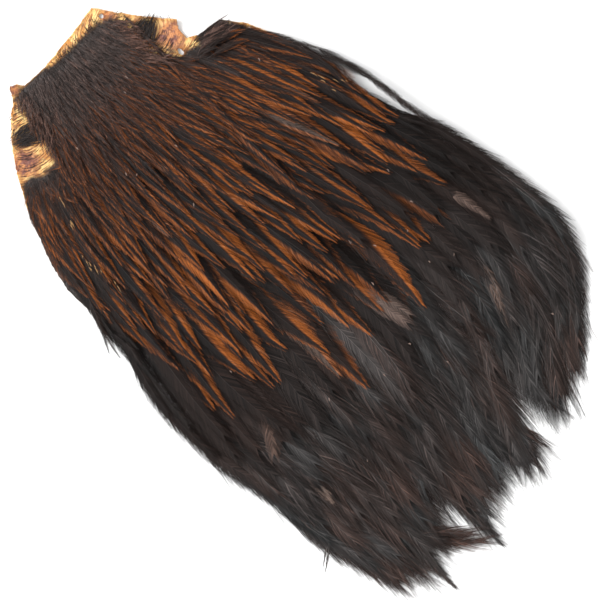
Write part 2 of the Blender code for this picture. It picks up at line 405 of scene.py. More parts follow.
# Five lines that the plumage flows along, from the left edge to the right one
FLOW_LEVELS = (92.0, 70.0, 50.0, 30.0, 10.0, -10.0, -30.0, -50.0, -70.0, -95.0)
FLOW_ACROSS = (-1.0, -0.5, 0.0, 0.5, 1.0)
FLOW_LINES = (
    (-25.0, -43.0, -51.5, -55.0, -57.5, -59.5, -58.5, -56.5, -53.5, -49.0),
    (-17.0, -26.0, -31.0, -33.0, -34.0, -35.0, -34.5, -33.0, -32.5, -32.0),
    (-9.0, -8.5, -7.0, -5.0, -2.0, 0.0, 0.0, -2.5, -6.0, -10.0),
    (-1.0, 6.0, 13.5, 21.0, 27.0, 32.0, 33.5, 28.0, 18.0, 8.0),
    (7.0, 23.0, 37.0, 46.5, 51.5, 55.5, 59.0, 57.0, 43.0, 22.0),
)


def smooth(keys, values, at):
    """The value at one place of a smooth curve that meets each of values at its key."""
    keys = np.asarray(keys, float)
    values = [np.asarray(v, float) for v in values]
    if keys[0] > keys[-1]:
        keys, at = -keys, -np.asarray(at, float)
    at = np.clip(at, keys[0], keys[-1])
    last = len(keys) - 1
    slopes = [
        (values[min(n + 1, last)] - values[max(n - 1, 0)])
        / (keys[min(n + 1, last)] - keys[max(n - 1, 0)])
        for n in range(last + 1)
    ]
    result = 0.0
    for i in range(last):
        span = keys[i + 1] - keys[i]
        t = (at - keys[i]) / span
        here = (t >= 0) & ((t < 1) | (i == last - 1)) & (t <= 1)
        t = np.where(here, t, 0.0)
        piece = (
            values[i] * (2 * t**3 - 3 * t**2 + 1)
            + slopes[i] * span * (t**3 - 2 * t**2 + t)
            + values[i + 1] * (3 * t**2 - 2 * t**3)
            + slopes[i + 1] * span * (t**3 - t**2)
        )
        result = result + np.where(here, piece, 0.0)
    return result


def flow_x(across, y):
    """Sideways place at a level: across is -1 at the left edge and 1 at the right."""
    crossings = [smooth(FLOW_LEVELS, line, y) for line in FLOW_LINES]
    return smooth(FLOW_ACROSS, crossings, across)


def row_at(y):
    """The number of the row whose roots are at a level, with parts of a row."""
    inside = np.maximum(ROW_PITCH**2 + 4 * PITCH_GROWTH * (FIRST_ROOT_Y - y), 0.0)
    return 1 + (np.sqrt(inside) - ROW_PITCH) / (2 * PITCH_GROWTH)


def lying_height(row, across, y):
    """Height of a feather of a row: over the rows below it, down on the table past the skin."""
    seat = SKIN_THICK + GAP
    past_end = np.clip((SKIN_END_Y - y) / SETTLING_RUN, 0.0, 1.0)
    settle = seat * past_end**2 * (3 - 2 * past_end)
    layers = np.minimum(np.maximum(row_at(y), row), ROW_COUNT) - row
    thinning = 1 - THINNER_AT_SIDES * np.minimum(np.abs(across), 1.0) ** 4
    return seat - settle + layers * LAYER * thinning


# Sizes of a feather's parts, where a piece states no others
FEATHER_SIZES = {
    "Barb spacing": 0.32 * MM,
    "Barb width": 0.3 * MM,
    "Bare share": 0.2,
    "Sweep": 2.4,
    "Droop": 0.15,
    "Raggedness": 0.3,
    "Clump size": 2.5 * MM,
    "Shaft radius": 0.11 * MM,
    "Taper": 0.55,
    "Gathering": 0.3,
    "Lock size": 0.9 * MM,
    "Lock strength": 0.5 * MM,
}
FEATHER_COUNTS = {"Barb joints": 3, "Seed": 1}
LOWEST_BARB = 0.1


def feather_tree():
    """Grows barbs on both flanks of each shaft, and a thin rod along the shaft."""
    tree = bpy.data.node_groups.new("feathers", "GeometryNodeTree")
    sockets = tree.interface
    sockets.new_socket("Shafts", in_out="INPUT", socket_type="NodeSocketGeometry")
    for name in FEATHER_SIZES:
        sockets.new_socket(name, in_out="INPUT", socket_type="NodeSocketFloat")
    for name in FEATHER_COUNTS:
        sockets.new_socket(name, in_out="INPUT", socket_type="NodeSocketInt")
    sockets.new_socket("Finish", in_out="INPUT", socket_type="NodeSocketMaterial")
    sockets.new_socket("Feathers", in_out="OUTPUT", socket_type="NodeSocketGeometry")

    net = Net(tree)
    given = tree.nodes.new("NodeGroupInput")
    size = {socket.name: Wire(net, socket) for socket in given.outputs}

    def read(name, kind="FLOAT"):
        settings = {"data_type": kind}
        return net.node("GeometryNodeInputNamedAttribute", settings, {"Name": name})

    def keep(geometry, name, value, kind="FLOAT"):
        settings = {"data_type": kind, "domain": "POINT"}
        inputs = {"Geometry": geometry, "Name": name, "Value": value}
        return net.node("GeometryNodeStoreNamedAttribute", settings, inputs)

    def drift(run, flank):
        """Noise that changes along a flank of a feather within the length run."""
        inputs = {
            "Vector": read("anchor", "FLOAT_VECTOR"),
            "W": read("feather_no") + flank * 0.3,
            "Scale": 1.0 / run,
            "Detail": 1.0,
        }
        return net.node("ShaderNodeTexNoise", {"noise_dimensions": "4D"}, inputs)

    # A barb starts as a strip from 0 to 1 and gets its shape when all are joined
    position = net.node("GeometryNodeInputPosition")
    shafts = net.node("GeometryNodeMeshToCurve", {}, {"Mesh": size["Shafts"]})
    inputs = {"Curve": shafts, "Length": size["Barb spacing"]}
    barbed = net.node("GeometryNodeResampleCurve", {"mode": "LENGTH"}, inputs)
    barbed = keep(barbed, "anchor", position, "FLOAT_VECTOR")
    grown = []
    for flank in (-1.0, 1.0):
        inputs = {2: -1.0, 3: 1.0, 8: size["Seed"] + flank}
        chance = net.node("FunctionNodeRandomValue", {"data_type": "FLOAT"}, inputs, 1)
        here = keep(barbed, "barb_tone", chance)
        here = keep(here, "clump", (drift(size["Clump size"], flank) - 0.5) * 2.0)
        here = keep(here, "lock", (drift(size["Lock size"], flank) - 0.5) * 3.0)
        inputs = {"Size X": 1.0, "Size Y": flank, "Vertices X": size["Barb joints"]}
        inputs["Vertices Y"] = 2
        strip = net.node("GeometryNodeMeshGrid", {}, inputs)
        strip_x = net.node("ShaderNodeSeparateXYZ", {}, {0: position})
        strip_y = Wire(net, strip_x.socket.node.outputs[1])
        strip = keep(strip, "reach", strip_x + 0.5)
        strip = keep(strip, "edge", strip_y * 2.0)
        strip = keep(strip, "flank", flank)
        past_quill = net.maths("GREATER_THAN", read("along"), size["Bare share"])
        inputs = {"Points": here, "Selection": past_quill, "Instance": strip}
        barbs = net.node("GeometryNodeInstanceOnPoints", {}, inputs)
        grown.append(net.node("GeometryNodeRealizeInstances", {}, {0: barbs}))
    join = tree.nodes.new("GeometryNodeJoinGeometry")
    for barbs in grown:
        tree.links.new(barbs.socket, join.inputs[0])
    vane = Wire(net, join.outputs[0])

    reach = read("reach")
    uneven = read("clump") + read("barb_tone") * 0.35
    width = read("half_width") * (1.0 + size["Raggedness"] * uneven)
    gathered = 1.0 - (read("along") ** 3.0) * size["Gathering"]
    outward = (reach * 1.35 - reach * reach * 0.35) * read("flank") * width * gathered
    forward = (reach * 0.55 + reach * reach * 0.45) * size["Sweep"] * width
    forward = forward + read("lock") * reach * reach * size["Lock strength"]
    taper = 1.0 - reach * reach * size["Taper"]
    forward = forward + read("edge") * taper * size["Barb width"] * 0.5
    sunk = reach * reach * size["Droop"] * width * -1.0
    sunk = sunk + reach * read("lock") * size["Lock strength"] * 0.15
    place = (
        read("anchor", "FLOAT_VECTOR")
        + read("side", "FLOAT_VECTOR") * outward
        + read("flow", "FLOAT_VECTOR") * forward
        + read("up", "FLOAT_VECTOR") * sunk
    )
    place = net.maths("MAXIMUM", place, (-1.0, -1.0, LOWEST_BARB * MM))
    vane = net.node("GeometryNodeSetPosition", {}, {"Geometry": vane, "Position": place})

    thinning = (1.0 - read("along") * 0.8) * size["Shaft radius"]
    ring = net.node("GeometryNodeCurvePrimitiveCircle", {}, {"Resolution": 3, "Radius": 1.0})
    inputs = {"Curve": shafts, "Profile Curve": ring, "Scale": thinning}
    shaft = keep(net.node("GeometryNodeCurveToMesh", {}, inputs), "shaft", 1.0)
    both = tree.nodes.new("GeometryNodeJoinGeometry")
    for part in (vane, shaft):
        tree.links.new(part.socket, both.inputs[0])
    inputs = {"Geometry": Wire(net, both.outputs[0]), "Material": size["Finish"]}
    finished = net.node("GeometryNodeSetMaterial", {}, inputs)
    result = tree.nodes.new("NodeGroupOutput")
    tree.links.new(finished.socket, result.inputs[0])
    return tree


FEATHER_TREE = feather_tree()
# Points along a shaft, and the shares of its length by which the vane has opened and
# from which it narrows again
JOINTS = 9
OPEN_BY = 0.45
NARROWS_FROM = 0.35
ROOT_WIDTH = 0.25


def shafts_mesh(name, place, numbers):
    """Lines through the places of each feather's joints, which carry its numbers."""
    count, joints = place.shape[:2]
    place = (place - (*MIDDLE, 0.0)) * MM
    flow = np.gradient(place, axis=1)
    flow /= np.linalg.norm(flow, axis=-1, keepdims=True)
    side = np.cross(flow, (0.0, 0.0, 1.0))
    side /= np.linalg.norm(side, axis=-1, keepdims=True)
    up = np.cross(side, flow)
    share = np.linspace(0.0, 1.0, joints)[None, :]
    opened = np.sin(np.pi / 2 * np.minimum(share / OPEN_BY, 1.0))
    opened = ROOT_WIDTH + (1.0 - ROOT_WIDTH) * opened
    past = np.maximum(share - NARROWS_FROM, 0.0) / (1.0 - NARROWS_FROM)
    numbers = {key: np.asarray(value, float)[:, None] for key, value in numbers.items()}
    narrowing = 1 - (1 - numbers["blunt"]) * past**1.25
    numbers["half_width"] = numbers["half_width"] * opened * narrowing * MM
    numbers["along"] = share
    numbers["feather_no"] = np.arange(count)[:, None]

    mesh = bpy.data.meshes.new(name)
    edges = np.arange(count * joints).reshape(count, joints)
    edges = np.stack([edges[:, :-1], edges[:, 1:]], -1).reshape(-1, 2)
    mesh.from_pydata(place.reshape(-1, 3).tolist(), edges.tolist(), [])
    for key, value in numbers.items():
        keep_on(mesh, key, np.broadcast_to(value, (count, joints)))
    for key, value in (("side", side), ("flow", flow), ("up", up)):
        keep_on(mesh, key, value, "FLOAT_VECTOR", "vector")
    return mesh


def spread_map(mesh, place, spacing):
    """A UV map with a cell for each feather: along it upwards, its flanks beside."""
    count = len(place)
    runs = np.linalg.norm(np.diff(place, axis=1), axis=-1).sum(axis=1)

    def read(name):
        numbers = np.zeros(len(mesh.vertices), np.float32)
        if name in mesh.attributes:
            mesh.attributes[name].data.foreach_get("value", numbers)
        return numbers

    columns = math.ceil(math.sqrt(count * 6))
    lines = math.ceil(count / columns)
    in_shaft = read("shaft") > 0.5
    which = np.round(read("feather_no")).astype(int)
    half_strip = 0.45 * spacing / runs[which] * ~in_shaft
    u = 0.5 + np.sign(read("flank")) * (0.08 + 0.38 * read("reach"))
    u = np.where(in_shaft, 0.46 + 0.04 * (np.arange(len(u)) % 3), u)
    v = read("along") + read("edge") * half_strip
    u = (which % columns + 0.05 + 0.9 * u) / columns
    v = (which // columns + np.clip(0.06 + 0.88 * v, 0.005, 0.995)) / lines
    corners = np.empty(len(mesh.loops), np.int64)
    mesh.loops.foreach_get("vertex_index", corners)
    layer = mesh.uv_layers.new(name="OFBake")
    layer.data.foreach_set("uv", np.stack([u[corners], v[corners]], -1).ravel())


def grow_feathers(name, place, numbers, finish, nodes, slot, sizes):
    """Grows one piece of plumage on its shafts and puts it in place of nodes."""
    seedling = new_object(name, shafts_mesh(name, place, numbers))
    growth = seedling.modifiers.new("feathers", "NODES")
    growth.node_group = FEATHER_TREE
    values = {**FEATHER_SIZES, **FEATHER_COUNTS, "Finish": finish, **sizes}
    for socket in FEATHER_TREE.interface.items_tree:
        if socket.name in values:
            growth[socket.identifier] = values[socket.name]
    grown = plain_mesh(seedling)
    bpy.data.objects.remove(seedling)
    grown.name = name
    spread_map(grown, place, values["Barb spacing"] / MM)
    piece = new_object(name, grown)
    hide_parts(*nodes)
    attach(piece, "root")


# What tints the black from reddish to neutral, the dark and the light end of the rust, the
# painted highlight on single barbs, the pale feathers and the yellow skin with its painted glow,
# and the shafts
BLACK_TINTS = ((1.35, 0.72, 0.55), (0.95, 0.97, 0.98))
RUST_COLOURS = ((0.046, 0.015, 0.008), (0.37, 0.102, 0.017))
PAINTED_GLINT = (0.42, 0.22, 0.14)
DRY_SKIN_AND_GLOW_COLOURS = ((0.36, 0.25, 0.20), (0.80, 0.45, 0.15))
SHAFT_COLOUR = (0.13, 0.115, 0.11)


def plumage_finish(name, specular, roughness, shaft_light, barb_contrast_and_glint):
    """Barbs that are black at the shaft and, on a rusty feather, rusty at the margin, with
    painted highlights on the brightest barbs.
    """
    material, net, shader = new_finish(name)
    read = net.carried
    along, reach, tone, barb_tone = read("along"), read("reach"), read("tone"), read("barb_tone")
    lean_to = read("skew") * read("flank")
    # Barbs, locks and whole feathers are lighter or darker at random; the lightest barbs are
    # partly painted highlights
    hair = barb_tone * barb_tone * barb_tone * barb_contrast_and_glint + read("lock") * 0.55 + tone * 0.45
    # Painted highlight: the brightest barbs are made lighter still, a glint painted into the
    # colour
    hair = hair + net.between(barb_tone, 0.86, 1.0, 0.0, 1.3) * barb_contrast_and_glint
    light = read("dark") * net.maths("MAXIMUM", 1.0 + hair, 0.15)
    black = net.mix(read("hue"), *BLACK_TINTS) * light
    centre = net.between(along, 0.25, 0.9, 0.96, 0.5) + lean_to * 0.42
    margin = net.between(reach + barb_tone * 0.06 + read("lock") * 0.04 - centre, -0.16, 0.2)
    warmth = read("warm") + tone * 0.4 + barb_tone * 0.5 + read("lock") * 0.25
    rust = net.mix(net.between(warmth, -0.1, 1.45), *RUST_COLOURS)
    # Painted highlight: the brightest rusty barbs are mixed towards a pale glint colour
    rust = net.mix(net.between(barb_tone, 0.86, 1.0, 0.0, 0.4), rust, PAINTED_GLINT)
    colour = net.mix(margin * read("rust"), black, rust)
    pale = read("pale") * net.between(barb_tone + lean_to * 0.7, -1.6, 1.2)
    # Pale feathers and flakes take the first colour; the strips of skin between the feathers
    # take the bright yellow, a painted glow
    dry = net.mix(net.between(read("warm"), 1.5, 2.0), *DRY_SKIN_AND_GLOW_COLOURS)
    colour = net.mix(pale, colour, dry)
    colour = net.mix(read("shaft") * shaft_light, colour, SHAFT_COLOUR)
    net.tree.links.new(colour.socket, shader.inputs["Base Color"])
    shader.inputs["Roughness"].default_value = roughness
    shader.inputs["Specular IOR Level"].default_value = specular
    return material


# By the level of a feather's tip: the gaps between neighbours and between rows, the
# length and the half width, how light the black is and how warm the rust
TIP_LEVELS = (88, 80, 72, 64, 55, 45, 30, 15, 0, -15, -30, -45, -60, -75, -90)
SPACINGS = (0.62, 0.66, 0.78, 1.0, 1.35, 1.75, 2.6, 3.6, 4.6, 5.4, 5.6, 5.2, 4.8, 4.4, 4.4)
PITCHES = (1.1, 1.2, 1.6, 2.3, 3.1, 3.9, 5.4, 6.8, 7.8, 8.4, 8.4, 7.6, 7.0, 5.5, 5.0)
LENGTHS = (3.5, 5, 7, 10.5, 15, 21, 29, 36, 40, 44, 46, 46, 48, 48, 48)
HALF_WIDTHS = (0.36, 0.4, 0.5, 0.7, 1.0, 1.3, 1.9, 2.5, 3.2, 3.8, 4.4, 4.8, 5.0, 5.0, 5.0)
DARKS = (
    0.046, 0.044, 0.036, 0.025, 0.015, 0.009, 0.006, 0.005,
    0.004, 0.004, 0.008, 0.012, 0.015, 0.016, 0.016,
)
WARMTHS = (0.2, 0.2, 0.25, 0.3, 0.4, 0.55, 0.7, 0.8, 0.85, 0.8, 0.8, 0.9, 1.0, 1.0, 1.0)
# The plumage's left and right edges, and from left to right the lowest tips, the lower
# end of the rusty feathers and the share of the feathers that are rusty
LEFT_EDGE = (
    (90, -60), (60, -47), (48, -50.9), (36, -52), (24, -54.5), (18, -53.6), (12, -56),
    (0, -58.9), (-18, -59), (-24, -58.2), (-30, -56.5), (-42, -55), (-54, -54.5), (-66, -51.5),
    (-80, -49), (-96, -46),
)
RIGHT_EDGE = (
    (90, 30), (60, 31), (54, 34.4), (48, 38), (42, 40.5), (36, 42.4), (30, 42.8), (24, 42.8),
    (18, 44.6), (12, 45.6), (6, 49), (0, 52), (-12, 54.8), (-24, 56.2), (-36, 57.6),
    (-42, 57), (-48, 54.6), (-54, 51.8), (-60, 46.2), (-66, 41.6), (-80, 36), (-96, 32),
)
TIP_LINE = (
    (-56, -52), (-52, -67), (-50, -75), (-47, -81), (-44, -83.5), (-41, -83), (-38, -85),
    (-35.5, -93), (-33, -83), (-30, -81), (-27, -82), (-24.5, -70), (-22, -70), (-20.5, -84),
    (-17.5, -94), (-14, -86), (-12, -82), (-9, -82), (-7, -85), (-4, -85), (-1, -82),
    (2, -86), (5, -88), (7, -78), (8.5, -65), (10, -60), (12.5, -60), (14.5, -72), (16, -83),
    (18, -77), (22, -79), (25, -74.5), (29, -75), (33, -71), (38, -67), (44, -61.5), (50, -55),
    (56, -47),
)
RUST_END = (
    (-60, 60), (-51, 10), (-47, -16), (-42, -23), (-34, -25), (-24, -27), (-17, -30),
    (-12, -40), (-8, -36), (0, -34), (13, -36), (17, -32), (25, -26), (28, -19),
    (36, -14), (43, -15), (47, 5), (50, 40),
)
RUSTY_SHARE = (
    (-60, 0.0), (-52, 0.1), (-47, 0.4), (-40, 0.8), (-30, 0.96), (34, 0.95), (40, 0.85),
    (46, 0.4), (52, 0.0),
)
# Gaps between the lobes of tips: centre and level of the top, half width, slant
GAPS = ((-22.9, -64.0, 2.3, 0.0), (11.4, -57.0, 2.7, 0.12))
# Places that the tips at the lower edge gather at
LOBES = (
    -46.0, -41.0, -36.0, -29.0, -18.0, -12.5, -7.0, -2.0, 4.0, 16.5, 22.5, 29.0, 37.0, 44.0,
)


FIRST_TIPS = 87.0
LAST_TIPS = -93.0
ROOT_RANGE = (-43.5, 88.6)
SHORTEST = 3.0
LOBE_RUN = 12.0
LOWEST_SHAFT = 0.3
CROWN_HUE_START = 60.0
PALE_SHARE = 0.03


def along_line(line, at):
    """The value at one place of a line of straight pieces."""
    line = np.array(line, float)
    line = line[np.argsort(line[:, 0])]
    return np.interp(at, line[:, 0], line[:, 1])


def strewn_feathers(seed):
    """Shafts and numbers of all feathers, in staggered rows from the head down."""
    chance = np.random.default_rng(seed)
    rows = []
    level = FIRST_TIPS
    stagger = 0.0
    while level > LAST_TIPS:
        wide = float(flow_x(1.0, level) - flow_x(-1.0, level))
        count = int(wide / smooth(TIP_LEVELS, SPACINGS, level))
        slot = (np.arange(count) + 0.25 + 0.5 * stagger) / count
        slot = slot + chance.uniform(-0.35, 0.35, count) / count
        pitch = float(smooth(TIP_LEVELS, PITCHES, level))
        tips = level + chance.uniform(-0.8, 0.8, count) * pitch
        rows.append((np.clip(-1 + 2 * slot, -1, 1), tips))
        level -= pitch
        stagger = 1.0 - stagger
    across = np.concatenate([row[0] for row in rows])
    tip = np.concatenate([row[1] for row in rows])
    count = len(tip)
    length = smooth(TIP_LEVELS, LENGTHS, tip) * chance.uniform(0.88, 1.12, count)
    root = np.clip(tip + length, *ROOT_RANGE)
    half_width = smooth(TIP_LEVELS, HALF_WIDTHS, tip) * chance.uniform(0.85, 1.15, count)
    at_side = np.clip((np.abs(across) - 0.72) / 0.28, 0.0, 1.0)
    half_width = half_width * (1.0 - 0.45 * at_side * (tip < 0.0))

    # The lowest tips lean towards the lobes, and each feather leans a little at random
    tip_x = flow_x(across, tip)
    lobes = np.array(LOBES)
    nearest = lobes[np.argmin(np.abs(tip_x[:, None] - lobes[None, :]), axis=1)]
    gather = np.clip((-58.0 - tip) / LOBE_RUN, 0.0, 1.0) * 0.4
    tousle = np.where(tip > 55.0, 0.11, 0.05)
    lean = gather * (nearest - tip_x) + chance.normal(0.0, 1.0, count) * tousle * length
    tip_x = tip_x + lean
    past_shaft = np.where(tip < -40.0, 0.7 * half_width, 0.0)
    tip = np.maximum(tip, along_line(TIP_LINE, tip_x) + past_shaft)
    tip = np.minimum(tip, root - SHORTEST)

    # No feather grows on bare skin: roots move off it, and most that stay are left out
    for _ in range(3):
        buried = (depth_in(BARE_PATCHES, flow_x(across, root), root) > 0.0) & (root < 86.0)
        root = np.where(buried, root - 0.25 * (root - tip), root)
    middle_y = 0.5 * (root + tip)
    root_x = flow_x(across, root)
    middle_x = flow_x(across, middle_y)
    chosen = (depth_in((SKIN_OUTLINE,), root_x, root) > 0.4) | (root < 56.0)
    bare = np.clip(0.5 + depth_in(BARE_PATCHES, root_x, root), 0.0, 1.0)
    chosen &= chance.uniform(0.0, 1.0, count) > bare * 0.97
    chosen &= depth_in(BARE_PATCHES, middle_x, middle_y) < chance.uniform(-0.3, 2.4, count)

    # The shafts follow the flow, inside the plumage's edges and out of its gaps
    length = root - tip
    share = np.linspace(0.0, 1.0, JOINTS)[None, :]
    y = root[:, None] - share * length[:, None]
    x = flow_x(across[:, None], y) + lean[:, None] * share**2
    inset = 0.9 * half_width[:, None] * np.sin(np.pi / 2 * np.minimum(share / 0.4, 1.0))
    x = np.maximum(x, along_line(LEFT_EDGE, y) + inset)
    x = np.minimum(x, along_line(RIGHT_EDGE, y) - inset + 0.3)
    for centre, top, half, slant in GAPS:
        opened = np.clip((top - y) / LOBE_RUN, 0.0, 1.0)
        need = opened * (half + 0.9 * half_width[:, None] * (1.0 - 0.5 * share))
        centre = centre + slant * np.maximum(top - y, 0.0)
        aside = np.where(x[:, -1:] > centre[:, -1:], 1.0, -1.0)
        x = np.where((x - centre) * aside < need, centre + aside * need, x)
    lift = chance.uniform(0.0, 0.5, count)[:, None] * share**1.5
    seat = chance.uniform(-0.15, 0.25, count)[:, None]
    z = lying_height(row_at(root)[:, None], across[:, None], y) + lift + seat
    z = np.maximum(z, LOWEST_SHAFT)
    spare = y[:, -1] - along_line(TIP_LINE, x[:, -1])
    y = y - np.minimum(spare, 0.0)[:, None] * share**2

    # Rust stops at its lower end and fades at the head, except beside the ears
    rusty_share = np.where(tip > 38.0, 0.9, along_line(RUSTY_SHARE, tip_x))
    rusty_share = rusty_share + 0.35 * ((tip < 6.0) & (tip_x < -36.0) & (tip_x > -50.0))
    rusty = chance.uniform(0.0, 1.0, count) < rusty_share
    rust = np.clip((tip - along_line(RUST_END, tip_x)) / 1.5, 0.0, 1.0) * rusty
    strong = chance.uniform(0.65, 1.0, count)
    sides = np.where(chance.uniform(-1.0, 1.0, count) > 0, 1, -1)
    is_pale = chance.uniform(0.0, 1.0, count) > 1.0 - PALE_SHARE
    is_pale = is_pale & (tip < 40.0) & (rust > 0.5)
    crown_hue = np.clip((tip - CROWN_HUE_START) / 16.0, 0.0, 0.5)
    body_hue = chance.uniform(0.12, 1.0, count) * np.clip((-22.0 - tip) / 20.0, 0.4, 1.0)
    beside_patch = np.clip(1.0 + depth_in(BARE_PATCHES[:2], middle_x, middle_y) / 7.0, 0.0, 1.0)
    beside_patch = beside_patch * (tip > 52.0)
    numbers = {
        "root": root,
        "half_width": half_width,
        "rust": rust * strong * np.clip((78.0 - tip) / 16.0 + beside_patch, 0.15, 1.0),
        "dark": np.where(rust > 0.5, 1.0, 1.5) * smooth(TIP_LEVELS, DARKS, tip),
        "warm": smooth(TIP_LEVELS, WARMTHS, tip) + 0.25 * beside_patch,
        "hue": np.where(rust > 0.5, crown_hue, body_hue),
        "tone": chance.uniform(-1.0, 1.0, count),
        "skew": sides * chance.uniform(0.2, 1.0, count),
        "pale": np.where(is_pale, 0.2, 0.0),
        "blunt": np.where((rust > 0.5) | (tip > 0.0), 0.15, 0.5),
    }
    numbers = {key: value[chosen] for key, value in numbers.items()}
    return np.stack([x, y, z], -1)[chosen], numbers


def across_at(x, y):
    """The flow's across for places on the cape."""
    grid = np.linspace(-1.0, 1.0, 41)
    lines = flow_x(grid, y[:, None])
    return np.array([np.interp(at, line, grid) for at, line in zip(x, lines)])


HEAD_LEVEL = 80.0
HIGHEST_AT_HEAD = 2.2
LOWEST_SINGLE = 0.6


def single_feathers(rows):
    """Shafts and numbers of feathers that are placed one by one on the others."""
    places = []
    roots = []
    share = np.linspace(0.0, 1.0, JOINTS)
    for row in rows:
        (x0, y0), (x1, y1), bow = row[:3]
        run = np.hypot(x1 - x0, y1 - y0)
        aside = bow * 4 * share * (1 - share) / run
        x = x0 + (x1 - x0) * share + (y0 - y1) * aside
        y = y0 + (y1 - y0) * share + (x1 - x0) * aside
        root = y1 + smooth(TIP_LEVELS, LENGTHS, y1) + SHORTEST
        z = lying_height(row_at(root), across_at(x, y), y) + 0.3 - 1.2 * (1 - share) ** 2
        z = np.where(y > HEAD_LEVEL, np.minimum(z, HIGHEST_AT_HEAD), z)
        places.append(np.stack([x, y, np.maximum(z, LOWEST_SINGLE)], -1))
        highest_root = 60.0 if y1 < 66.0 else HEAD_LEVEL
        roots.append(min(max(root, -41.0), highest_root))
    columns = np.array([row[3:] for row in rows], float).T
    numbers = dict(zip(("half_width", "rust", "dark", "warm", "hue", "pale", "blunt"), columns))
    chance = np.random.default_rng(21)
    numbers["root"] = np.array(roots)
    numbers["tone"] = chance.uniform(-0.6, 0.6, len(rows))
    numbers["skew"] = chance.uniform(-0.6, 0.6, len(rows))
    return np.array(places), numbers


SINGLES = []


def lay(start, end, bow, half_width, dark, hue, blunt, pale=0.0, rust=0.0, warm=0.0):
    """Notes a feather that lies apart, with the numbers that it carries."""
    SINGLES.append((start, end, bow, half_width, rust, dark, warm, hue, pale, blunt))


# Dark strands and wisps at the edges, then feathers that cross at the lower edge, pale
# ones, two that lie over the skin's lower end, and rusty ones at the ears
for row in (
    ((34.0, 56.0), (43.0, 38.0), -0.7, 1.1, 0.012, 0.3, 0.2),
    ((37.0, 49.0), (46.0, 28.0), -0.4, 1.3, 0.01, 0.3, 0.2),
    ((41.0, 43.0), (47.4, 20.0), 0.4, 1.3, 0.012, 0.5, 0.2),
    ((41.6, 39.0), (46.0, 24.0), -0.2, 1.2, 0.012, 0.5, 0.2),
    ((43.6, 36.0), (48.6, 11.0), 0.8, 1.2, 0.01, 0.3, 0.2),
    ((45.8, 26.0), (48.8, 5.0), 0.6, 1.3, 0.01, 0.3, 0.2),
    ((47.2, 18.0), (52.0, -3.0), -0.4, 1.3, 0.01, 0.3, 0.2),
    ((-49.0, 38.0), (-56.6, 20.0), 0.6, 1.0, 0.012, 0.2, 0.2),
    ((-50.5, 33.0), (-55.4, 17.0), -0.6, 0.8, 0.012, 0.2, 0.2),
    ((-49.5, -58.0), (-57.6, -64.3), 0.3, 0.5, 0.01, 0.2, 0.3),
    ((-50.0, -59.0), (-56.4, -62.6), -0.4, 0.4, 0.01, 0.2, 0.3),
    ((-35.0, -72.0), (-20.5, -89.0), -1.2, 2.6, 0.028, 0.0, 0.7),
    ((-33.0, -70.0), (-21.5, -85.0), -0.8, 2.6, 0.02, 0.0, 0.7),
    ((-37.0, -62.0), (-35.2, -92.6), 0.4, 1.8, 0.016, 0.1, 0.3),
    ((-35.6, -64.0), (-34.4, -88.0), 0.2, 2.0, 0.018, 0.7, 0.3),
    ((-19.5, -64.0), (-17.8, -93.4), 0.3, 1.8, 0.016, 0.8, 0.3),
    ((-16.0, -62.0), (-17.0, -89.0), -0.3, 2.0, 0.016, 0.3, 0.3),
    ((-34.0, -70.0), (-28.0, -81.0), -0.4, 2.4, 0.014, 0.2, 0.7),
    ((1.5, -10.0), (6.4, -31.0), 0.5, 2.6, 0.035, 0.4, 0.5, 0.28),
    ((3.5, -14.0), (8.4, -30.0), 0.5, 2.0, 0.03, 0.4, 0.5, 0.25),
    ((-36.0, -16.0), (-44.0, -31.0), 0.8, 2.6, 0.03, 0.0, 0.5, 0.18),
    ((38.0, -8.0), (42.5, -27.0), 0.5, 1.6, 0.025, 0.2, 0.3, 0.2),
    ((31.0, -34.0), (25.6, -51.0), 0.9, 1.2, 0.02, 0.0, 0.3, 0.35),
    ((33.0, -32.0), (28.5, -46.0), 0.9, 1.0, 0.02, 0.0, 0.3, 0.25),
    ((13.0, -18.0), (14.6, -45.0), 0.4, 3.2, 0.01, 0.3, 0.4),
    ((17.0, -20.0), (19.4, -48.0), -0.4, 3.4, 0.012, 0.1, 0.4),
    ((-43.4, -44.0), (-42.6, -52.0), 0.3, 0.8, 0.02, 0.0, 0.3, 1.0),
    ((-41.6, -45.0), (-41.8, -50.0), 0.2, 0.6, 0.02, 0.0, 0.3, 1.0),
    ((20.5, 60.0), (31.5, 56.4), 0.6, 1.2, 0.012, 0.0, 0.2, 0.0, 1.0, 0.7),
    ((19.0, 58.0), (30.5, 53.6), 0.6, 1.2, 0.012, 0.0, 0.2, 0.0, 1.0, 0.6),
    ((-36.0, 68.0), (-30.0, 65.0), 0.6, 0.8, 0.02, 0.0, 0.2, 0.0, 1.0, 0.8),
):
    lay(*row)
TUFT_FEATHERS = 44
FLAKES = 26
FRINGE_HAIRS = 120
RIM_HAIRS = 56
TUFT_CHANCE = np.random.default_rng(31)

# A tuft that stands out sideways below the right ear
for number in range(TUFT_FEATHERS):
    start_x = TUFT_CHANCE.uniform(17.5, 24.0)
    start_y = TUFT_CHANCE.uniform(59.5, 63.8) - 0.12 * (start_x - 17.5)
    reach = TUFT_CHANCE.uniform(5.0, 9.5)
    fall = TUFT_CHANCE.uniform(0.0, 0.35) * reach
    end = (start_x + reach, start_y - fall)
    dark = 0.008 + 0.07 * TUFT_CHANCE.uniform(0.0, 1.0) ** 3
    lay((start_x, start_y), end, 0.5, 0.5, dark, 0.1, 0.2)

# Pale specks of dry skin that lie on the plumage
for number in range(FLAKES):
    start_x = TUFT_CHANCE.uniform(-42.0, 38.0)
    start_y = TUFT_CHANCE.uniform(-60.0, 78.0)
    end = (start_x + TUFT_CHANCE.uniform(-0.4, 0.4), start_y - TUFT_CHANCE.uniform(0.3, 0.7))
    lay((start_x, start_y), end, 0.05, 0.22, 0.2, 0.5, 0.8, pale=1.0)
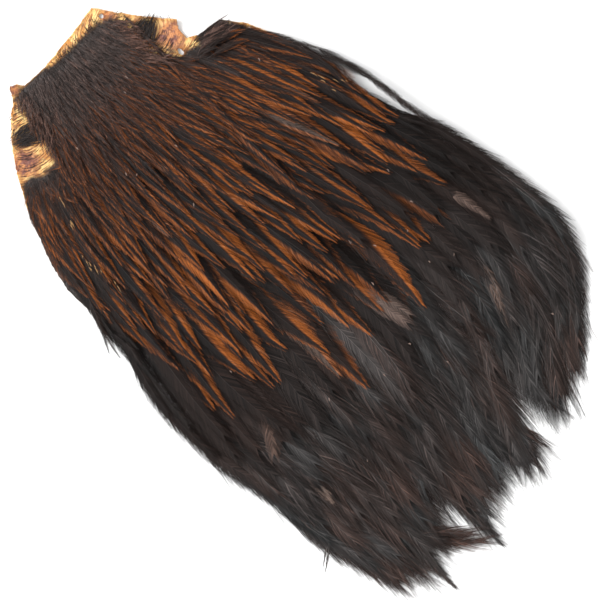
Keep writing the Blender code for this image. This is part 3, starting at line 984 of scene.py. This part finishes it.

# Strips of yellow skin that show between the feathers, painted bright as a glow of light through
# the thin skin: a line, the spread about it and a count
GLIMPSES = (
    (((-36.4, 61.0), (-38.2, 54.0), (-43.0, 47.0), (-43.2, 40.0), (-42.0, 31.0)), 0.5, 15),
    (((36.6, 36.0), (38.2, 32.0), (40.0, 27.0)), 1.0, 7),
)
for line, spread, count in GLIMPSES:
    line = np.array(line)
    for level in TUFT_CHANCE.uniform(line[-1, 1], line[0, 1], count):
        start_x = along_line(line[:, ::-1], level) + TUFT_CHANCE.normal(0.0, spread)
        reach = TUFT_CHANCE.uniform(0.5, 2.2)
        end = (start_x + np.sign(start_x) * 0.25 * reach, level - reach)
        lay((start_x, level), end, 0.1, 0.14, 0.1, 0.0, 0.3, pale=0.8, warm=2.0)

# Hairs that cross the border of each bare ear patch: the border and which way they point
FRINGES = (
    (((-26.0, 87.0), (-25.4, 83.0), (-26.6, 79.5), (-26.8, 75.0), (-28.4, 70.6)), -1.0),
    (((8.2, 85.4), (9.4, 81.0), (9.0, 76.5), (8.4, 72.0), (9.4, 68.6), (12.3, 65.6)), 1.0),
)
for border, aside in FRINGES:
    border = np.array(border)
    for level in TUFT_CHANCE.uniform(border[-1, 1], border[0, 1], FRINGE_HAIRS):
        start_x = along_line(border[:, ::-1], level) - aside * TUFT_CHANCE.uniform(-0.4, 3.2)
        reach = TUFT_CHANCE.uniform(1.2, 3.2)
        end = (start_x + aside * reach, level - TUFT_CHANCE.uniform(1.0, 3.4))
        glow = TUFT_CHANCE.uniform(0.012, 0.11)
        lay((start_x, level), end, 0.3 * aside, 0.25, glow, 0.0, 0.2)

# Hairs that stand past the crown towards the cut edge
for start_x in TUFT_CHANCE.uniform(-15.0, 5.6, RIM_HAIRS):
    start_y = 85.4 + 0.06 * start_x * (start_x > 0)
    end = (start_x + TUFT_CHANCE.uniform(-0.5, 0.9), start_y + TUFT_CHANCE.uniform(0.8, 3.0))
    lay((start_x, start_y), end, 0.1, 0.3, 0.016, 0.2, 0.2)


def row_nodes(kind, row):
    """The CAD nodes of one row."""
    return [f"{kind}_row{row}_{place + 1}" for place in range(FEATHERS_IN_ROW[row - 1])]


def picked(keep):
    """The places and numbers of some of all feathers."""
    return ALL_PLACES[keep], {key: value[keep] for key, value in ALL_NUMBERS.items()}


ALL_PLACES, ALL_NUMBERS = strewn_feathers(7)
SINGLE_PLACES, SINGLE_NUMBERS = single_feathers(SINGLES)
ALL_PLACES = np.concatenate([ALL_PLACES, SINGLE_PLACES])
ALL_NUMBERS = {
    key: np.concatenate([value, SINGLE_NUMBERS[key]]) for key, value in ALL_NUMBERS.items()
}
NECK_FINISH = plumage_finish("neck_plumage", 0.1, 0.5, 0.25, 0.8)
ROW_OF = np.round(row_at(ALL_NUMBERS["root"])).astype(int)

grow_feathers(
    "crown_plumage",
    *picked(ROW_OF < 1),
    NECK_FINISH,
    ["crown_feathers"],
    "crown",
    {"Seed": 5, "Barb spacing": 0.52 * MM, "Barb width": 0.3 * MM, "Shaft radius": 0.06 * MM},
)

# Ear tufts
# Short bristles that grow in a brush on each bare ear patch, and single hairs that lie
# around them on the skin.

# The CAD node, the centre, the way the brush points, and its half length and half height
TUFTS = (
    ("ear_tuft_left", EARS[0], (-1.0, 0.42), 5.4, 3.3),
    ("ear_tuft_right", EARS[1], (1.0, 0.22), 5.2, 3.7),
)
BRISTLES = 300
RING_HAIRS = 420


def ear_hairs(centre, aim, half_length, half_height, seed):
    """Shafts and numbers of one ear's brush and of the ring of hairs round it."""
    chance = np.random.default_rng(seed)
    aim = np.array(aim) / np.hypot(*aim)
    beside = np.array((-aim[1], aim[0]))
    share = np.linspace(0.0, 1.0, JOINTS)[None, :]
    turn = chance.uniform(0.0, 2 * np.pi, BRISTLES)
    away = np.sqrt(chance.uniform(0.0, 1.0, BRISTLES))
    first = (away * np.cos(turn) * half_length * 0.8 - 2.2)[:, None]
    off = (away * np.sin(turn) * half_height)[:, None]
    run = chance.uniform(2.4, 4.2, BRISTLES)[:, None]
    reach = first + run * share
    bow = off * (1.0 - 0.25 * share) + run * 0.12 * share**2
    x = centre[0] + aim[0] * reach + beside[0] * bow
    y = centre[1] + aim[1] * reach + beside[1] * bow
    z = 0.7 + chance.uniform(0.0, 0.9, BRISTLES)[:, None] + 0.9 * np.sin(np.pi * share) ** 0.7
    brush = np.stack([x, y, z], -1)

    start = chance.uniform(0.0, 2 * np.pi, RING_HAIRS)[:, None]
    radius = chance.uniform(4.2, 12.5, RING_HAIRS)[:, None]
    turned = chance.uniform(1.8, 3.6, RING_HAIRS)[:, None] / radius
    angle = start - np.sign(np.cos(start) * aim[0] + 0.01) * turned * share
    x = centre[0] + radius * np.cos(angle)
    y = centre[1] + radius * np.sin(angle) / EAR_SQUASH
    rings = np.stack([x, y, np.full(x.shape, 0.85) + 0.25 * np.sin(np.pi * share)], -1)
    middle = rings[:, JOINTS // 2]
    tips = rings[:, -1]
    stays = depth_in(BARE_PATCHES, middle[:, 0], middle[:, 1]) > -0.5
    stays &= depth_in((SKIN_OUTLINE,), middle[:, 0], middle[:, 1]) > 0.3
    stays &= depth_in((SKIN_OUTLINE,), tips[:, 0], tips[:, 1]) > 0.0
    rings = rings[stays]
    place = np.concatenate([brush, rings])
    count = len(place)
    in_ring = np.arange(count) >= BRISTLES
    numbers = {
        "half_width": np.full(count, 0.3),
        "rust": np.zeros(count),
        "dark": np.where(in_ring, 0.030, 0.022),
        "warm": np.zeros(count),
        "hue": np.where(in_ring, 0.0, 0.4),
        "tone": chance.uniform(-1.0, 1.0, count),
        "skew": np.zeros(count),
        "pale": np.zeros(count),
        "blunt": np.full(count, 0.2),
    }
    return place, numbers


for number, (name, centre, aim, half_length, half_height) in enumerate(TUFTS):
    grow_feathers(
        name + "_hairs",
        *ear_hairs(centre, aim, half_length, half_height, 11 + number),
        NECK_FINISH,
        [name],
        "crown",
        {"Seed": 3, "Bare share": 2.0, "Shaft radius": 0.1 * MM},
    )

# Neck feathers
# Lance-shaped feathers in five overlapping rows, black down the middle with rusty
# margins that widen towards the tip. They grow out of the skin as all the others do.

for row in range(1, 6):
    grow_feathers(
        f"neck_feathers_row{row}",
        *picked(ROW_OF == row),
        NECK_FINISH,
        row_nodes("neck_feather", row),
        "neck_feather",
        {"Seed": row * 10, "Barb spacing": (0.37 if row == 1 else 0.32) * MM},
    )

# Back feathers
# Broader, softer feathers of the lower neck in four rows, nearly black all over, with
# loose barbs and ragged ends that reach past the skin and down to the table.

BACK_FINISH = plumage_finish("back_plumage", 0.2, 0.42, 0.8, 1.6)

for row in range(6, ROW_COUNT + 1):
    grow_feathers(
        f"back_feathers_row{row}",
        *picked(np.minimum(ROW_OF, ROW_COUNT) == row),
        BACK_FINISH,
        row_nodes("back_feather", row),
        "back_feather",
        {
            "Seed": row * 10,
            "Barb joints": 4,
            "Barb width": 0.34 * MM,
            "Sweep": 3.0,
            "Taper": 0.3,
            "Gathering": 0.5,
            "Lock size": 1.3 * MM,
            "Lock strength": 2.4 * MM,
            "Raggedness": 0.65,
            "Clump size": 3.5 * MM,
            "Droop": 0.2,
            "Shaft radius": 0.16 * MM,
        },
    )

# Floor, light and camera
# The cape lies on a white table and is seen from straight above, with its head
# end towards the picture's top left.

TABLE_SIZE = 4.0
TABLE_WHITE = (0.9, 0.9, 0.9, 1.0)
bpy.ops.mesh.primitive_plane_add(size=TABLE_SIZE, location=(0.0, 0.0, 0.0))
table = bpy.context.object
table.name = "table"
material, net, shader = new_finish("white_table")
shader.inputs["Base Color"].default_value = TABLE_WHITE
shader.inputs["Roughness"].default_value = 0.8
table.data.materials.append(material)

world = bpy.data.worlds.new("studio")
bpy.context.scene.world = world
world.use_nodes = True
background = world.node_tree.nodes["Background"]
background.inputs["Color"].default_value = (1.0, 1.0, 1.0, 1.0)
background.inputs["Strength"].default_value = 1.0

lamp = bpy.data.lights.new("softbox", "AREA")
lamp.shape = "DISK"
lamp.size = 0.5
lamp.energy = 8.0
softbox = new_object("softbox", lamp)
softbox.location = (-0.35, 0.5, 0.7)
softbox.rotation_euler = (math.radians(-36), math.radians(-27), 0.0)

# The camera's height is in metres, and the picture's scale in millimetres a pixel
CAMERA_HEIGHT = 0.9
FRAME_PIXELS = 600
PIXEL = 0.2744
SENSOR_WIDTH = 36.0
VIEW_CENTRE = (-9.6, -6.66)
lens = bpy.data.cameras.new("camera")
lens.sensor_width = SENSOR_WIDTH
lens.lens = SENSOR_WIDTH * CAMERA_HEIGHT / (PIXEL * FRAME_PIXELS * MM)
camera = new_object("camera", lens)
camera.location = (
    (VIEW_CENTRE[0] - MIDDLE[0]) * MM,
    (VIEW_CENTRE[1] - MIDDLE[1]) * MM,
    CAMERA_HEIGHT,
)
camera.rotation_euler = (0.0, 0.0, math.radians(-45.0))
bpy.context.scene.camera = camera
bpy.context.scene.view_settings.view_transform = "Standard"
